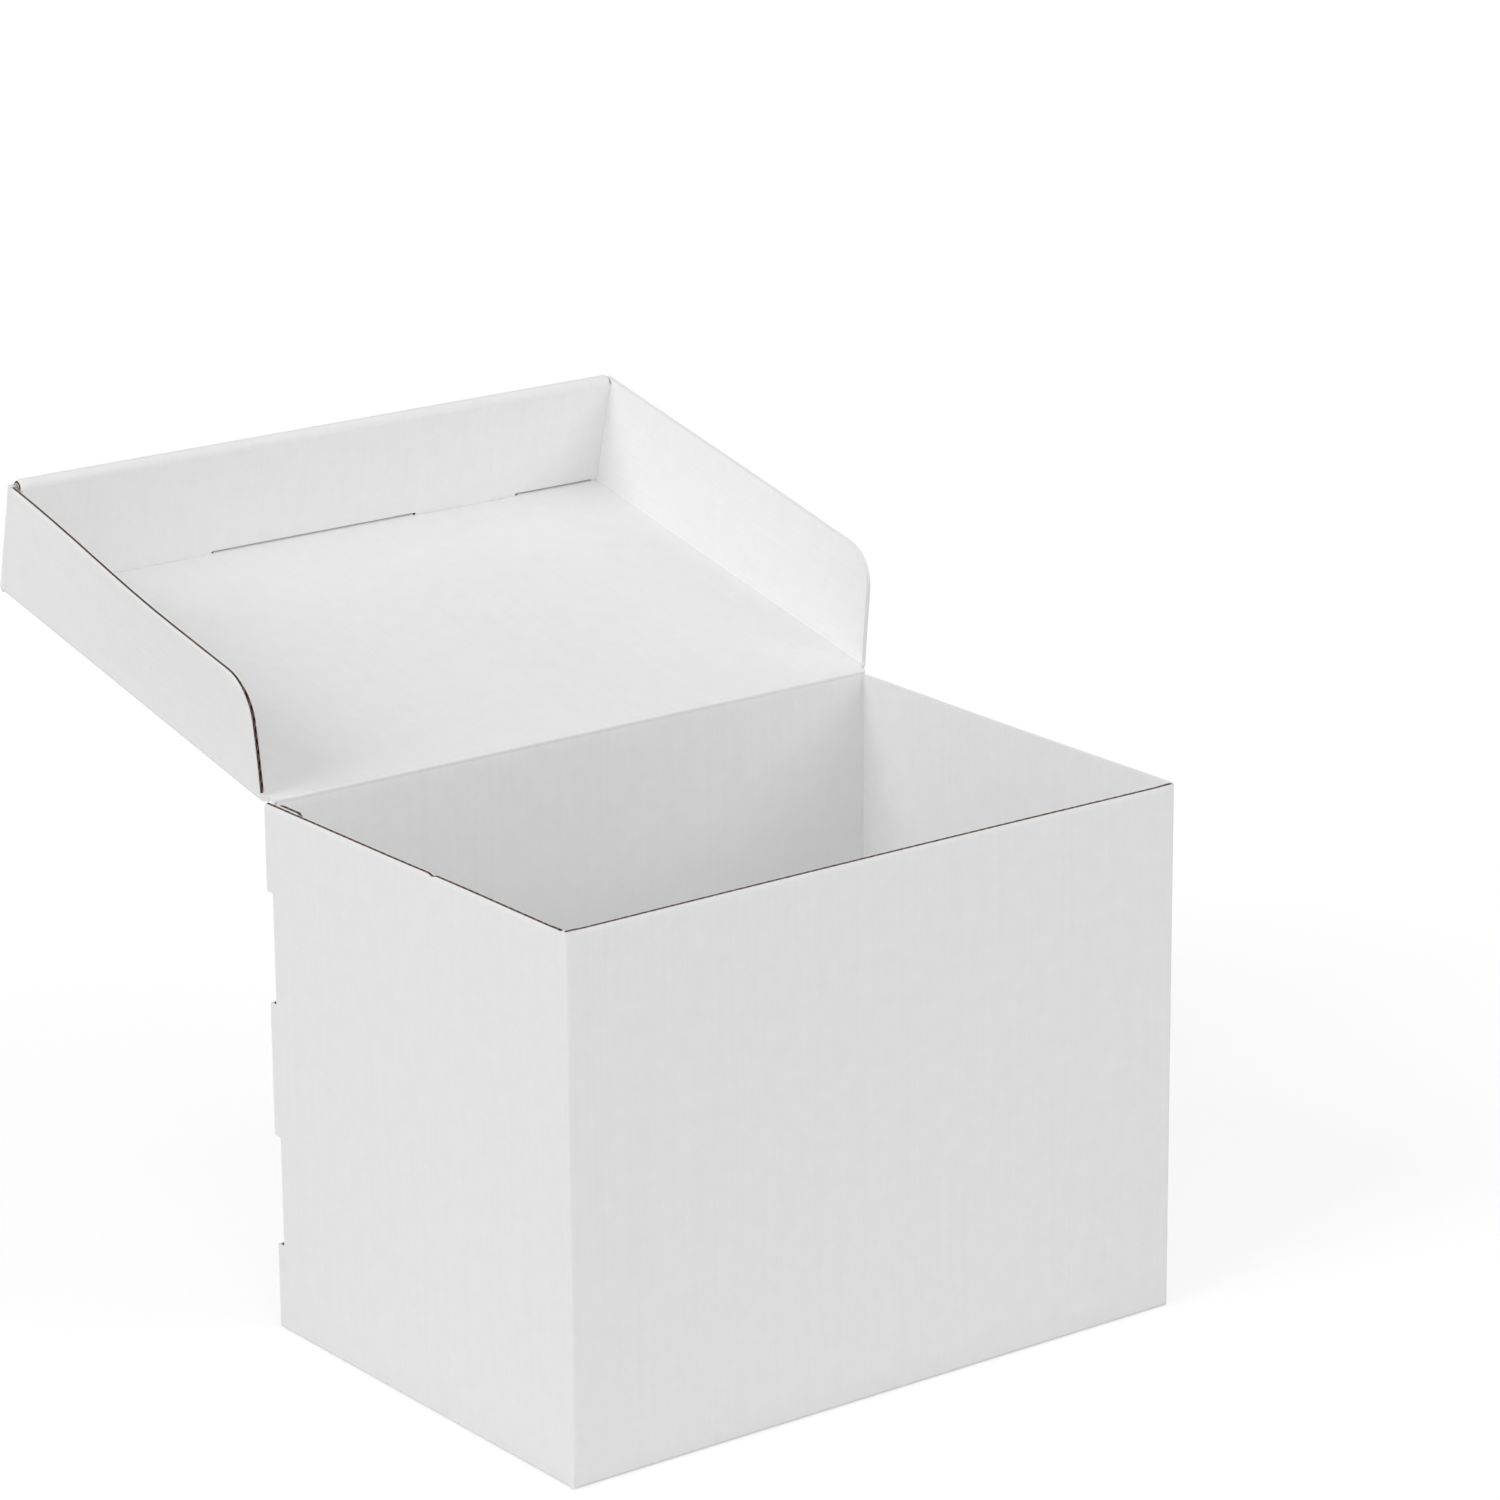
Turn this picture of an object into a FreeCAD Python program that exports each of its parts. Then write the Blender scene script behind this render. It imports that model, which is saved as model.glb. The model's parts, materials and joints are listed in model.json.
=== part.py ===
import FreeCAD, Part
import math
import os
import re
import Sketcher

# A folded storage box of fluted board, with a hinged tray lid and a header card.
# Millimetres. X runs along the front, the front wall faces -Y, and Z = 0 is the
# surface that the box stands on. The origin is the middle of the base.
# Each panel between two creases is one body, cut to its outline and one board thick.

sizes = {
    # board and creases
    "board": 1.5,
    "crease_round": 1.2,
    "round_land": 0.03,
    # base
    "box_length": 211,
    "box_depth": 141.5,
    "box_height": 158,
    "corner_flap_width": 15,
    "corner_flap_foot": 8,
    "corner_flap_slant": 3,
    "rear_tab_end": 26,
    "rear_tab_gap": 33,
    "rear_tab_proud": 3,
    "rear_tab_round": 0.8,
    # snap-lock bottom, places along Y from the middle of the base
    "floor_gap": 0.5,
    "front_flap_shoulder": 18,
    "front_flap_nose": 152,
    "lock_line": 8,
    "tongue_width": 80,
    "tongue_ramp": 12,
    "tongue_reach": 22,
    "tongue_round": 8,
    "tongue_gap": 2,
    "lock_gap": 0.8,
    "side_flap_root": 124,
    "side_flap_length": 54,
    "side_flap_tip_front": 22,
    "side_flap_tip_rear": 34,
    "back_flap_shoulder": 24,
    "back_flap_ear": 20,
    "back_flap_ear_outer": 92,
    "back_flap_ear_inner": 46,
    # lid and its hinge
    "lid_open_angle": 167.5,
    "lid_side_gap": 0.5,
    "lid_front_gap": 0.8,
    "lid_top_gap": 0.3,
    "hinge_gap": 0.2,
    "lid_front_height": 36.6,
    "lid_side_height": 34.2,
    "lid_pocket": 1.8,
    "side_flap_back": 5,
    "side_flap_slant": 4,
    "side_flap_round": 13,
    "dust_flap_end": 6.2,
    "dust_flap_gap": 0.15,
    "dust_flap_slant": 6,
    "dust_flap_trim": 2,
    "inner_side_gap": 0.3,
    "tuck_gap": 0.6,
    # slits along the lid's front crease, and the tabs of the inner panel
    "slit_length": 37.3,
    "slit_centre": 57,
    "slit_clear": 0.2,
    "tab_length": 35.5,
    "tab_rise": 2.4,
    "tab_slant": 0.8,
    # header card
    "header_width": 129,
    "header_height": 51,
    "header_corner": 9.6,
    "header_shift": -2.3,
    "leg_width": 22.5,
    "leg_depth": 28,
    "leg_corner": 4,
    "header_rest_gap": 0.1,
    "header_strip_gap": 0.4,
    "leg_side_gap": 0.2,
}

# Places and widths that follow from the sizes above.
inside_x = "(box_length / 2 - board)"
inside_y = "(box_depth / 2 - board)"
floor_x = f"({inside_x} - floor_gap)"
hinge_y = "(box_depth / 2 - board / 2)"
hinge_z = "(box_height + lid_top_gap + board / 2)"
hinge_start = "(board / 2 + hinge_gap)"
full_round = "(board - round_land) / 2"
lid_x = "(box_length / 2 + lid_side_gap + board)"
inner_rear = "(box_depth - board / 2 + lid_front_gap)"
pocket_rear = f"({inner_rear} + board)"
pocket_front = f"({pocket_rear} + lid_pocket)"
lid_front = f"({pocket_front} + board)"
card_front = f"({pocket_front} - dust_flap_gap)"
card_middle = f"({card_front} - board / 2)"
hem_radius = "(lid_pocket / 2 + board)"
hem_z = f"(lid_front_height - board / 2 - {hem_radius})"
slit_inner = "(slit_centre - slit_length / 2)"
slit_outer = "(slit_centre + slit_length / 2)"
slit_rear = f"({inner_rear} - slit_clear)"
tab_inner = "(slit_centre - tab_length / 2)"
tab_outer = "(slit_centre + tab_length / 2)"
fold_rise = "(tab_rise + header_rest_gap + board / 2)"
fold_z = f"(board / 2 + {fold_rise})"

planes = {"flat": "XY_Plane", "front": "XZ_Plane", "side": "YZ_Plane"}
axes = {"x": FreeCAD.Vector(1, 0, 0), "y": FreeCAD.Vector(0, 1, 0), "z": FreeCAD.Vector(0, 0, 1)}
sides = {"left": ("x", min), "right": ("x", max), "front": ("y", min), "rear": ("y", max),
         "low": ("z", min), "high": ("z", max)}
outline_guess = 50
close = 0.01

doc = FreeCAD.newDocument("storage_box")
sheet = doc.addObject("Spreadsheet::Sheet", "Sizes")
for row, (name, number) in enumerate(sizes.items(), 1):
    sheet.set(f"A{row}", name)
    sheet.set(f"B{row}", str(number))
    sheet.setAlias(f"B{row}", name)
doc.recompute()


def bound(formula):
    # A formula in the names above becomes one that reads the sheet's cells.
    def cell(word):
        return "Sizes." + word.group() if word.group() in sizes else word.group()
    return re.sub(r"[a-z_]+", cell, formula)


def minus(formula):
    return f"-({formula})"


def sketch_on(body, name, plane, start, corners):
    # A closed outline, each corner dimensioned from the sketch's origin.
    sketch = body.newObject("Sketcher::SketchObject", name)
    for feature in body.Origin.OriginFeatures:
        if feature.Role == planes[plane]:
            sketch.AttachmentSupport = (feature, [""])
    sketch.MapMode = "FlatFace"
    sketch.setExpression("AttachmentOffset.Base.z", bound(start))
    count = len(corners)
    turn = 2 * math.pi / count
    ring = [FreeCAD.Vector(outline_guess * math.cos(turn * step), outline_guess * math.sin(turn * step))
            for step in range(count)]
    for step in range(count):
        sketch.addGeometry(Part.LineSegment(ring[step], ring[(step + 1) % count]), False)
    for step in range(count):
        sketch.addConstraint(Sketcher.Constraint("Coincident", step, 2, (step + 1) % count, 1))
    for step, (across, up) in enumerate(corners):
        for kind, formula in (("DistanceX", across), ("DistanceY", up)):
            number = sketch.addConstraint(Sketcher.Constraint(kind, step, 1, outline_guess))
            sketch.setExpression(f"Constraints[{number}]", bound(formula))
    return sketch


def place_in_lid(body):
    # The lid's bodies are drawn shut, from the hinge line, and turned open together.
    body.setExpression("Placement.Base.y", bound(hinge_y))
    body.setExpression("Placement.Base.z", bound(hinge_z))
    for axis, share in (("x", "1"), ("y", "0"), ("z", "0")):
        body.setExpression(f"Placement.Rotation.Axis.{axis}", share)
    body.setExpression("Placement.Rotation.Angle", bound("-lid_open_angle"))


def panel(label, plane, low, corners, in_lid=False):
    # One board thick, from low upwards along the axis that the plane faces.
    body = doc.addObject("PartDesign::Body", label)
    body.Label = label
    start = minus(f"{low} + board") if plane == "front" else low
    sketch = sketch_on(body, label + "_outline", plane, start, corners)
    pad = body.newObject("PartDesign::Pad", label + "_pad")
    pad.Profile = sketch
    pad.setExpression("Length", bound("board"))
    if in_lid:
        place_in_lid(body)
    doc.recompute()
    return body


def edges_along(feature, axis, order):
    # The straight edges along an axis, narrowed to the outermost ones on each side in turn.
    found = []
    for number, edge in enumerate(feature.Shape.Edges, 1):
        if 1 - abs(edge.tangentAt(edge.FirstParameter).dot(axes[axis])) < close:
            found.append((f"Edge{number}", edge.CenterOfMass))
    for side in order:
        letter, outermost = sides[side]
        limit = outermost(getattr(middle, letter) for name, middle in found)
        found = [(name, middle) for name, middle in found if abs(getattr(middle, letter) - limit) < close]
    return [name for name, middle in found]


def fillet(body, radius, *groups):
    # Each group is an axis, then the sides of the body that its edge lies on.
    base = body.Tip
    feature = body.newObject("PartDesign::Fillet", f"{body.Label}_round_{len(body.Group)}")
    feature.Base = (base, [name for axis, *order in groups for name in edges_along(base, axis, order)])
    feature.setExpression("Radius", bound(radius))
    doc.recompute()


def box_corners(low_across, high_across, low_up, high_up):
    return [(low_across, low_up), (high_across, low_up), (high_across, high_up), (low_across, high_up)]


def mirrored(corners):
    return [(minus(across), up) for across, up in corners]


# Walls of the base. Front and back cover the ends of the right wall, and the left wall covers
# the back wall's glued corner.
front_wall = panel("front_wall", "front", "-box_depth / 2",
                   box_corners("-box_length / 2", "box_length / 2", "0", "box_height"))
fillet(front_wall, "crease_round", ("z", "front", "left"), ("z", "front", "right"), ("x", "front", "low"))

right_wall = panel("right_wall", "side", inside_x,
                   box_corners(f"-{inside_y}", inside_y, "0", "box_height"))
fillet(right_wall, "crease_round", ("y", "right", "low"))

back_wall = panel("back_wall", "front", inside_y,
                  box_corners(f"-{inside_x}", "box_length / 2", "0", f"{hinge_z} + board / 2"))
fillet(back_wall, "crease_round", ("z", "rear", "left"), ("z", "rear", "right"), ("x", "rear", "low"))
fillet(back_wall, full_round, ("x", "high", "front"), ("x", "high", "rear"))

tab_rear = "box_depth / 2 + rear_tab_proud"
gap_rear = "box_depth / 2"
lower_gap = ("rear_tab_end", "rear_tab_end + rear_tab_gap")
upper_gap = ("box_height - rear_tab_end - rear_tab_gap", "box_height - rear_tab_end")
left_corners = [(f"-{inside_y}", "0"), (tab_rear, "0")]
for gap_low, gap_high in (lower_gap, upper_gap):
    left_corners += [(tab_rear, gap_low), (gap_rear, gap_low), (gap_rear, gap_high), (tab_rear, gap_high)]
left_corners += [(tab_rear, "box_height"), (f"-{inside_y}", "box_height")]
left_wall = panel("left_wall", "side", "-box_length / 2", left_corners)
fillet(left_wall, "rear_tab_round", ("x", "rear"))
fillet(left_wall, "crease_round", ("y", "left", "low"))

flap_end = f"{inside_y} - corner_flap_width"
panel("corner_flap", "side", f"-{inside_x}", [
    (inside_y, "corner_flap_foot"),
    (f"{flap_end} + corner_flap_slant", "corner_flap_foot"),
    (flap_end, "corner_flap_foot + corner_flap_slant"),
    (flap_end, "box_height - corner_flap_slant"),
    (f"{flap_end} + corner_flap_slant", "box_height"),
    (inside_y, "box_height")])

# Snap-lock bottom: front flap lowest, then the two side flaps, then the back flap. The front
# flap's tongue climbs past the side flaps and lies on the back flap.
front_root = f"-{inside_y}"
shoulder = f"{front_root} + front_flap_shoulder"
bottom_front_flap = panel("bottom_front_flap", "flat", "0", [
    (f"-{floor_x}", front_root),
    (floor_x, front_root),
    (floor_x, shoulder),
    ("front_flap_nose / 2", "lock_line"),
    ("-front_flap_nose / 2", "lock_line"),
    (f"-{floor_x}", shoulder)])
ramp_end = "lock_line + tongue_ramp"
tongue_end = f"{ramp_end} + tongue_reach"
tongue_outline = sketch_on(bottom_front_flap, "tongue_outline", "side", "-tongue_width / 2", [
    ("lock_line - board", "0"),
    ("lock_line", "0"),
    (ramp_end, "3 * board"),
    (tongue_end, "3 * board"),
    (tongue_end, "4 * board"),
    (ramp_end, "4 * board"),
    ("lock_line", "board"),
    ("lock_line - board", "board")])
tongue = bottom_front_flap.newObject("PartDesign::Pad", "tongue_pad")
tongue.Profile = tongue_outline
tongue.setExpression("Length", bound("tongue_width"))
doc.recompute()
fillet(bottom_front_flap, "tongue_round", ("z", "rear", "left"), ("z", "rear", "right"))

side_tip = f"{inside_x} - side_flap_length"
side_corners = [
    (inside_x, "-side_flap_root / 2"),
    (inside_x, "side_flap_root / 2"),
    (side_tip, "side_flap_tip_rear"),
    (side_tip, "-side_flap_tip_front")]
panel("bottom_right_flap", "flat", "board", side_corners)
panel("bottom_left_flap", "flat", "board", mirrored(side_corners))

notch_x = "tongue_width / 2 + tongue_gap"
notch_line = f"{ramp_end} + lock_gap"
half_back_flap = [
    (floor_x, inside_y),
    (floor_x, f"{inside_y} - back_flap_shoulder"),
    ("back_flap_ear_outer", "-back_flap_ear"),
    ("back_flap_ear_inner", "-back_flap_ear"),
    (notch_x, notch_line)]
panel("bottom_back_flap", "flat", "2 * board", half_back_flap + mirrored(half_back_flap)[::-1])

# Lid tray, drawn shut with its hinge line at the origin: Y runs to the rear and Z to the outside.
lid_end = f"-{pocket_front}"
slit_end = f"-{slit_rear}"
half_lid_front = [
    (lid_x, lid_end),
    (slit_outer, lid_end),
    (slit_outer, slit_end),
    (slit_inner, slit_end),
    (slit_inner, lid_end)]
lid_top = panel("lid_top", "flat", "-board / 2",
                [(lid_x, f"-{hinge_start}")] + half_lid_front
                + mirrored(half_lid_front)[::-1] + [(f"-{lid_x}", f"-{hinge_start}")], in_lid=True)
fillet(lid_top, "crease_round", ("y", "left", "high"), ("y", "right", "high"))

side_low = "-(lid_side_height - board / 2)"
flap_corners = [
    ("-side_flap_back", "-board / 2"),
    ("-(side_flap_back + side_flap_slant)", side_low),
    (f"-{card_front}", side_low),
    (f"-{card_front}", "-board / 2")]
dust_end = "header_width / 2 + abs(header_shift) + dust_flap_end"
dust_low = f"{side_low} + dust_flap_trim"
dust_corners = [
    (f"{lid_x} - board", "-board / 2 - tuck_gap"),
    (f"{lid_x} - board", dust_low),
    (dust_end, f"{dust_low} + dust_flap_slant"),
    (dust_end, "-board / 2 - tuck_gap - dust_flap_slant")]
for side, low, corners in (("left", f"-{lid_x}", mirrored(dust_corners)),
                           ("right", f"{lid_x} - board", dust_corners)):
    side_flap = panel(f"lid_{side}_flap", "side", low, flap_corners, in_lid=True)
    fillet(side_flap, "side_flap_round", ("x", "low", "rear"))
    fillet(side_flap, "crease_round", ("z", "front", side))
    panel(f"lid_{side}_dust_flap", "front", f"-{card_front}", corners, in_lid=True)

lid_front_outer = panel("lid_front_outer", "front", f"-{lid_front}",
                        box_corners(f"-{lid_x}", lid_x, f"-{hem_z}", "board / 2"), in_lid=True)
fillet(lid_front_outer, "crease_round", ("x", "front", "high"))

inner_x = f"({lid_x} - board - inner_side_gap)"
inner_high = "-board / 2 - tuck_gap"
tab_high = "board / 2 + tab_rise"
half_inner = [
    (inner_x, f"-{hem_z}"),
    (inner_x, inner_high),
    (tab_outer, inner_high),
    (tab_outer, "board / 2"),
    (f"{tab_outer} - tab_slant", tab_high),
    (f"{tab_inner} + tab_slant", tab_high),
    (tab_inner, "board / 2"),
    (tab_inner, inner_high)]
panel("lid_front_inner", "front", f"-{pocket_rear}", half_inner + mirrored(half_inner)[::-1], in_lid=True)

lid_front_hem = doc.addObject("PartDesign::Body", "lid_front_hem")
hem_outline = sketch_on(lid_front_hem, "hem_outline", "flat", f"-{hem_z}",
                        box_corners(f"-({lid_x} - board)", f"{lid_x} - board", "lid_pocket / 2", hem_radius))
hem_outline.setExpression("AttachmentOffset.Base.y", bound(f"-({pocket_rear} + lid_pocket / 2)"))
hem_roll = lid_front_hem.newObject("PartDesign::Revolution", "hem_roll")
hem_roll.Profile = hem_outline
hem_roll.ReferenceAxis = (hem_outline, ["H_Axis"])
hem_roll.Angle = 180
hem_roll.Reversed = True
place_in_lid(lid_front_hem)
doc.recompute()

# Header card, folded back flat on the tab tops. It swings up about the fold at the legs' tops.
plate_left = "(header_shift - header_width / 2)"
plate_right = "(header_shift + header_width / 2)"
leg_low = "board / 2 - leg_depth"
for side, leg_edge in (("left", f"{plate_left}"), ("right", f"{plate_right} - leg_width")):
    leg = panel(f"header_{side}_leg", "front", f"-{card_front}",
                box_corners(leg_edge, f"{leg_edge} + leg_width", leg_low, f"{fold_z} + board / 2"), in_lid=True)
    fillet(leg, "leg_corner", ("y", "low", "left"), ("y", "low", "right"))
    fillet(leg, full_round, ("x", "high", "front"), ("x", "high", "rear"))

plate_rear = f"-{card_middle} + header_height - {fold_rise}"
plate_start = f"-{card_middle} + {hinge_start}"
strip_front = f"-{card_middle} - {fold_rise} + header_strip_gap"
strip_left = f"{plate_left} + leg_width + leg_side_gap"
strip_right = f"{plate_right} - leg_width - leg_side_gap"
header_plate = panel("header_plate", "flat", f"{fold_z} - board / 2", [
    (plate_left, plate_start),
    (strip_left, plate_start),
    (strip_left, strip_front),
    (strip_right, strip_front),
    (strip_right, plate_start),
    (plate_right, plate_start),
    (plate_right, plate_rear),
    (plate_left, plate_rear)], in_lid=True)
fillet(header_plate, "header_corner", ("z", "rear", "left"), ("z", "rear", "right"))

for item in doc.Objects:
    if "Invalid" in item.State or "Error" in item.State:
        raise RuntimeError(f"{item.Name} failed: {item.State}")
bodies = [item for item in doc.Objects if item.TypeId == "PartDesign::Body"]
for body in bodies:
    if body.Shape.isNull() or not body.Shape.isValid() or len(body.Shape.Solids) != 1:
        raise RuntimeError(f"{body.Label} is not one valid solid")

os.makedirs("parts", exist_ok=True)
for body in bodies:
    body.Shape.exportStep(f"parts/{body.Label}.step")
    box = body.Shape.BoundBox
    print(f"{body.Label}: {body.Shape.Volume:.0f} mm3, {box.XLength:.1f} x {box.YLength:.1f} x {box.ZLength:.1f}")
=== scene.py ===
import json
import math
import bmesh
import bpy
from mathutils import Matrix, Vector, noise


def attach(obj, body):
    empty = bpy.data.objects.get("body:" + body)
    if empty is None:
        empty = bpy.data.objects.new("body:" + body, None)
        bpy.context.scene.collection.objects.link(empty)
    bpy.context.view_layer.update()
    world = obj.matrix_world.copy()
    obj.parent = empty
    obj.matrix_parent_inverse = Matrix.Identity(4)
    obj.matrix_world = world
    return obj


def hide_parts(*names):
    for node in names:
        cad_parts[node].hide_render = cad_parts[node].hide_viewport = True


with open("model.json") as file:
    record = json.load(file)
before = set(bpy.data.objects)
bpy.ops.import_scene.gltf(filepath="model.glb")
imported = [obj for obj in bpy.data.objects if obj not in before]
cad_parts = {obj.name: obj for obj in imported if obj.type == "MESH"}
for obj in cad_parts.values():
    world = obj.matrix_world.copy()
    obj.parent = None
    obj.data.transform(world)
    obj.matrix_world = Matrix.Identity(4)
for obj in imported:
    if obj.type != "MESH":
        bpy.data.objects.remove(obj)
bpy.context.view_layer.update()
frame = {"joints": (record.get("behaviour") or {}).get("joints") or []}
joints = {joint["name"]: joint for joint in frame["joints"]}

mm = 0.001
board = {  # millimetres
    "thickness": 1.5,
    "linerPaper": 0.25,
    "mediumPaper": 0.16,
    "flutePitch": 3.2,
    "creaseRound": 1.2,
    "fullRound": 0.735,
    "roundSteps": 6,
    "cellAcross": 0.8,  # mesh columns, four to a flute
    "cellAlong": 12.0,
    "mediumAcross": 0.4,
    "closedByCrease": 0.55,  # a crease crushes the flutes shut this far along a cut edge
    "washboard": 0.012,  # how far the liners sink between flutes
    "calmFrom": 2.0,  # the flutes don't show this near a crease, and only show fully calmOver further
    "calmOver": 5.0,
    "bowReach": 45.0,  # a panel bows more, the farther it is from the lines that hold it
    "strayLength": 55.0,
    "edgeCrush": 0.46,  # share of the thickness that the die squeezes out of a cut edge
    "cutSlant": 0.3,  # the knife leans, so the outer liner ends this much short of the inner one
    "slantReach": 1.2,
    "tear": 0.07,  # torn fibres along a cut
    "tearDepth": 0.45,
    "tearCoarse": 1.1,
    "tearFine": 3.1,
    "creaseRows": (0.95, 1.2, 1.5, 1.8, 2.1),
    "creasePressed": 0.13,
    "pressedWidth": 0.3,
    "longEdge": 100.0,
}
half = board["thickness"] / 2


def nodeMaker(tree):
    def make(kind, inputs=None, **settings):
        node = tree.nodes.new(kind)
        for name, value in settings.items():
            setattr(node, name, value)
        for name, value in (inputs or {}).items():
            socket = node.inputs[name]
            if isinstance(value, bpy.types.NodeSocket):
                tree.links.new(value, socket)
            else:
                socket.default_value = value
        return node
    return make


def startMaterial(name):
    material = bpy.data.materials.new(name)
    material.use_nodes = True
    material.node_tree.nodes.clear()
    return material, nodeMaker(material.node_tree)


paper = {
    "colour": (0.905, 0.905, 0.905),
    "headerColour": (0.915, 0.915, 0.915),
    "fibreMottle": 0.010,  # share of the colour
    "fibreScale": 900.0,
    "cloudMottle": 0.012,
    "cloudScale": 170.0,
    "fluteStreak": 0.012,
    "streakAcross": 95.0,
    "streakAlong": 0.9,
    "speckScale": 42.0,
    "speckRare": 0.93,
    "speckSize": (0.012, 0.022),
    "speckDark": 0.35,
    "roughness": 0.84,
    "roughnessSpread": 0.06,
    "fibreBump": 0.10,
}


def whitePaper(name, colour):
    material, make = startMaterial(name)
    where = make("ShaderNodeTexCoord").outputs["Object"]
    flat = make("ShaderNodeUVMap", uv_map="boardUV").outputs["UV"]

    def mottle(vector, scale, detail, roughness):
        return make("ShaderNodeTexNoise", {"Vector": vector, "Scale": scale, "Detail": detail,
                                           "Roughness": roughness}).outputs["Fac"]

    fibre = mottle(where, paper["fibreScale"], 3.0, 0.6)
    cloud = mottle(where, paper["cloudScale"], 2.0, 0.5)
    stretch = (paper["streakAcross"], paper["streakAlong"], 1.0)
    stretched = make("ShaderNodeVectorMath", {0: flat, 1: stretch}, operation="MULTIPLY").outputs[0]
    streak = mottle(stretched, 1.0, 2.0, 0.7)

    tint = None
    for level, share in ((fibre, paper["fibreMottle"]), (cloud, paper["cloudMottle"]),
                         (streak, paper["fluteStreak"])):
        change = make("ShaderNodeMapRange", {"Value": level, "From Min": 0.25, "From Max": 0.75,
                                             "To Min": 1 - share, "To Max": 1 + share}).outputs["Result"]
        tint = change if tint is None else make("ShaderNodeMath", {0: tint, 1: change},
                                                operation="MULTIPLY").outputs[0]

    dots = make("ShaderNodeTexVoronoi", {"Vector": where, "Scale": paper["speckScale"], "Randomness": 1.0})
    chance = make("ShaderNodeSeparateColor", {"Color": dots.outputs["Color"]}).outputs["Red"]
    chosen = make("ShaderNodeMath", {0: chance, 1: paper["speckRare"]}, operation="GREATER_THAN").outputs[0]
    inner, outer = paper["speckSize"]
    small = make("ShaderNodeMapRange", {"Value": dots.outputs["Distance"], "From Min": inner,
                                        "From Max": outer, "To Min": 1.0, "To Max": 0.0}).outputs["Result"]
    speck = make("ShaderNodeMath", {0: small, 1: chosen}, operation="MULTIPLY").outputs[0]
    darker = make("ShaderNodeMath", {0: speck, 1: -paper["speckDark"], 2: 1.0},
                  operation="MULTIPLY_ADD").outputs[0]
    shade = make("ShaderNodeMath", {0: tint, 1: darker}, operation="MULTIPLY").outputs[0]
    white = make("ShaderNodeVectorMath", {0: colour, 1: shade}, operation="MULTIPLY").outputs[0]

    rough = make("ShaderNodeMapRange", {"Value": fibre,
                                        "To Min": paper["roughness"] - paper["roughnessSpread"],
                                        "To Max": paper["roughness"] + paper["roughnessSpread"]})
    bump = make("ShaderNodeBump", {"Strength": paper["fibreBump"], "Distance": 0.0004, "Height": fibre})
    shader = make("ShaderNodeBsdfPrincipled", {"Base Color": white, "Roughness": rough.outputs["Result"],
                                               "Normal": bump.outputs["Normal"], "Specular IOR Level": 0.25})
    make("ShaderNodeOutputMaterial", {"Surface": shader.outputs["BSDF"]})
    return material


# the fluted medium, the liners' hidden side and their cut edges: dark and pale tone, scale of the fibre; the
# hidden side is kraft brown painted darker than the medium, as painted shade inside the open flutes
rawPapers = {
    "kraftMedium": ((0.14, 0.112, 0.099), (0.30, 0.245, 0.218), 1500.0),
    # the liners' hidden side: kraft brown deepened into painted shade, so the open flutes at a cut look like
    # dark hollows
    "kraftInsideWithPaintedShade": ((0.055, 0.041, 0.036), (0.13, 0.098, 0.085), 1500.0),
    "cutLinerEdge": ((0.66, 0.56, 0.52), (0.84, 0.79, 0.77), 2200.0),
}


def rawPaper(name, dark, pale, scale):
    material, make = startMaterial(name)
    where = make("ShaderNodeTexCoord").outputs["Object"]
    fibre = make("ShaderNodeTexNoise", {"Vector": where, "Scale": scale, "Detail": 4.0,
                                        "Roughness": 0.65}).outputs["Fac"]
    share = make("ShaderNodeMapRange", {"Value": fibre, "From Min": 0.3, "From Max": 0.7}).outputs["Result"]
    colour = make("ShaderNodeMix", {0: share, 6: (*dark, 1.0), 7: (*pale, 1.0)},
                  data_type="RGBA").outputs[2]
    bump = make("ShaderNodeBump", {"Strength": 0.35, "Distance": 0.0002, "Height": fibre})
    shader = make("ShaderNodeBsdfPrincipled", {"Base Color": colour, "Roughness": 0.92,
                                               "Normal": bump.outputs["Normal"], "Specular IOR Level": 0.15})
    make("ShaderNodeOutputMaterial", {"Surface": shader.outputs["BSDF"]})
    return material


boardWhite = whitePaper("boardWhitePaper", paper["colour"])
headerWhite = whitePaper("headerWhitePaper", paper["headerColour"])
kraftMedium, kraftInsideWithPaintedShade, cutLiner = (rawPaper(name, *tones) for name, tones in rawPapers.items())
print("materials ready")


axes = {"X": Vector((1, 0, 0)), "Y": Vector((0, 1, 0)), "Z": Vector((0, 0, 1))}
planes = {"front": ("X", "Z", "Y"), "side": ("Y", "Z", "X"), "flat": ("X", "Y", "Z")}


def axis(name):
    return axes[name[-1]] * (-1 if name[0] == "-" else 1)


def placePanel(plane, middle, along, outside):
    # columns are the panel's own directions: across the flutes, along them, outwards
    v, w = axis(along), axis(outside)
    place = Matrix((v.cross(w), v, w)).transposed().to_4x4()
    place.translation = axes[planes[plane][2]] * middle
    return place


def toPanel(corners, plane, place):
    # corners are (across, up, kind of the edge that follows, radius); the result runs anticlockwise
    first, second = (axes[name] for name in planes[plane][:2])
    turned = []
    for across, up, kind, radius in corners:
        point = first * across + second * up
        turned.append((point.dot(place.col[0].xyz), point.dot(place.col[1].xyz), kind, radius))
    count = len(turned)
    area = sum(turned[i][0] * turned[(i + 1) % count][1] - turned[(i + 1) % count][0] * turned[i][1]
               for i in range(count))
    if area < 0:
        kinds = [corner[2] for corner in turned]
        turned = [(turned[-1 - i][0], turned[-1 - i][1], kinds[(-2 - i) % count], turned[-1 - i][3])
                  for i in range(count)]
    return turned


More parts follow.
